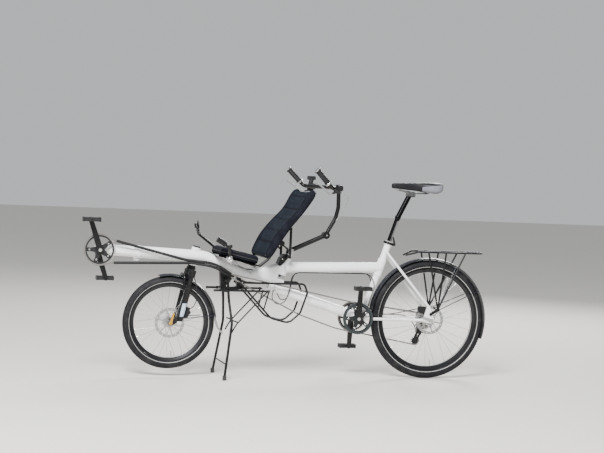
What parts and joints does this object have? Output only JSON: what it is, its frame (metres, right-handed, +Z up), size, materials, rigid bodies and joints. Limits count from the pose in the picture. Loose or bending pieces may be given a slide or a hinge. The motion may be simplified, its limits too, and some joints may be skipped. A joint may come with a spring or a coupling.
{
  "type": "semi-recumbent tandem bicycle",
  "caption": "Tandem bicycle with a reclined mesh seat and boom cranks in front, an upright saddle behind, rear steering by a long stem and rod, racks and a double-leg centre stand.",
  "frame": {"origin": "on the floor, below the middle of the overall box", "axes": "+X forward, +Y to the riders' left, +Z up"},
  "size_m": [2.3131, 0.6337, 1.154],
  "materials": {
    "white_frame": "gloss white paint",
    "black_metal": "satin black",
    "black_rim": "black anodised",
    "bright_steel": "bright",
    "grey_metal": "satin",
    "chain_steel": "oiled steel",
    "tyre": "matte black rubber",
    "rubber": "matte black",
    "black_plastic": "matte black",
    "fender_plastic": "satin blue-black",
    "saddle_cover": "black and grey cover",
    "seat_foam": "black woven cover over foam",
    "seat_mesh": "black open mesh with padded sides"
  },
  "bodies": {
    "frame": {"boom": "white_frame", "front_tube": "white_frame", "frame_gusset": "white_frame", "top_tube": "white_frame", "rear_main_tube": "white_frame", "seat_tube": "white_frame", "chain_stay_left": "white_frame", "chain_stay_right": "white_frame", "seat_stay_left": "white_frame", "seat_stay_right": "white_frame", "rear_axle": "bright_steel", "timing_chain": "chain_steel", "chain_tubes": "black_plastic", "drive_chain": "chain_steel", "rear_derailleur": "black_metal", "seatpost": "black_metal", "saddle": "saddle_cover", "rack_platform": "black_metal", "rack_legs": "black_metal", "rear_fender": "fender_plastic", "rear_caliper": "black_metal", "seat_mount": "grey_metal", "seat_cushion": "seat_foam", "seat_back_frame": "black_metal", "seat_back_sling": "seat_mesh", "seat_back_stays": "black_metal", "handle_left": "black_metal", "handle_right": "black_metal", "low_rack_left": "black_metal", "low_rack_right": "black_metal", "stand_bracket": "black_metal"},
    "fork": {"upper_fork": "black_metal", "lower_fork": "black_metal", "front_fender": "fender_plastic", "front_caliper": "black_metal"},
    "front_wheel": {"front_tyre": "tyre", "front_rim": "black_rim", "front_hub": "bright_steel", "front_rotor": "bright_steel"},
    "rear_wheel": {"rear_tyre": "tyre", "rear_rim": "black_rim", "rear_hub": "bright_steel", "rear_rotor": "bright_steel", "cassette": "chain_steel"},
    "front_crankset": {"front_cranks": "black_metal", "front_chainring": "chain_steel"},
    "rear_crankset": {"rear_cranks": "black_metal", "rear_chainrings": "chain_steel"},
    "front_left_pedal": {"front_pedal_left": "grey_metal"},
    "front_right_pedal": {"front_pedal_right": "grey_metal"},
    "rear_left_pedal": {"rear_pedal_left": "grey_metal"},
    "rear_right_pedal": {"rear_pedal_right": "grey_metal"},
    "handlebars": {"steering_column": "grey_metal", "stem": "black_metal", "handlebar": "black_metal", "grip_left": "rubber", "grip_right": "rubber"},
    "rod": {"steering_rod": "black_metal"},
    "stand": {"stand_legs": "black_metal"}
  },
  "joints": [
    {"name": "fork_steering", "type": "hinge", "parent": "frame", "child": "fork", "pos_m": [0.53523, 0, 0.65297], "axis": [-0.2147, 0, 0.9767], "range_deg": [-30, 30]},
    {"name": "handlebar_steering", "type": "hinge", "parent": "frame", "child": "handlebars", "pos_m": [0.00623, 0, 0.685], "axis": [-0.2672, 0, 0.9636], "range_deg": [-30, 30]},
    {"name": "rod_pivot", "type": "hinge", "parent": "handlebars", "child": "rod", "pos_m": [0.03929, -0.058, 0.56578], "axis": [-0.2672, 0, 0.9636], "range_deg": [-30, 30]},
    {"name": "front_wheel_spin", "type": "hinge", "parent": "fork", "child": "front_wheel", "pos_m": [0.66224, 0, 0.29182], "axis": [0, 1, 0], "continuous": true},
    {"name": "rear_wheel_spin", "type": "hinge", "parent": "frame", "child": "rear_wheel", "pos_m": [-0.80977, 0, 0.332], "axis": [0, 1, 0], "continuous": true},
    {"name": "front_crank_spin", "type": "hinge", "parent": "frame", "child": "front_crankset", "pos_m": [1.05423, 0, 0.67472], "axis": [0, 1, 0], "continuous": true},
    {"name": "rear_crank_spin", "type": "hinge", "parent": "frame", "child": "rear_crankset", "pos_m": [-0.38577, 0, 0.334], "axis": [0, 1, 0], "continuous": true},
    {"name": "front_left_pedal_spin", "type": "hinge", "parent": "front_crankset", "child": "front_left_pedal", "pos_m": [1.10957, 0.111, 0.83546], "axis": [0, 1, 0], "continuous": true},
    {"name": "front_right_pedal_spin", "type": "hinge", "parent": "front_crankset", "child": "front_right_pedal", "pos_m": [0.99888, -0.111, 0.51398], "axis": [0, 1, 0], "continuous": true},
    {"name": "rear_left_pedal_spin", "type": "hinge", "parent": "rear_crankset", "child": "rear_left_pedal", "pos_m": [-0.39171, 0.111, 0.5039], "axis": [0, 1, 0], "continuous": true},
    {"name": "rear_right_pedal_spin", "type": "hinge", "parent": "rear_crankset", "child": "rear_right_pedal", "pos_m": [-0.37984, -0.111, 0.1641], "axis": [0, 1, 0], "continuous": true},
    {"name": "stand_fold", "type": "hinge", "parent": "frame", "child": "stand", "pos_m": [0.36023, 0, 0.528], "axis": [0, 1, 0], "range_deg": [0, 48]}
  ],
  "couplings": [
    {"joint": "handlebar_steering", "follows": "fork_steering", "ratio": 1},
    {"joint": "rod_pivot", "follows": "fork_steering", "ratio": -1},
    {"joint": "front_crank_spin", "follows": "rear_crank_spin", "ratio": 1}
  ]
}
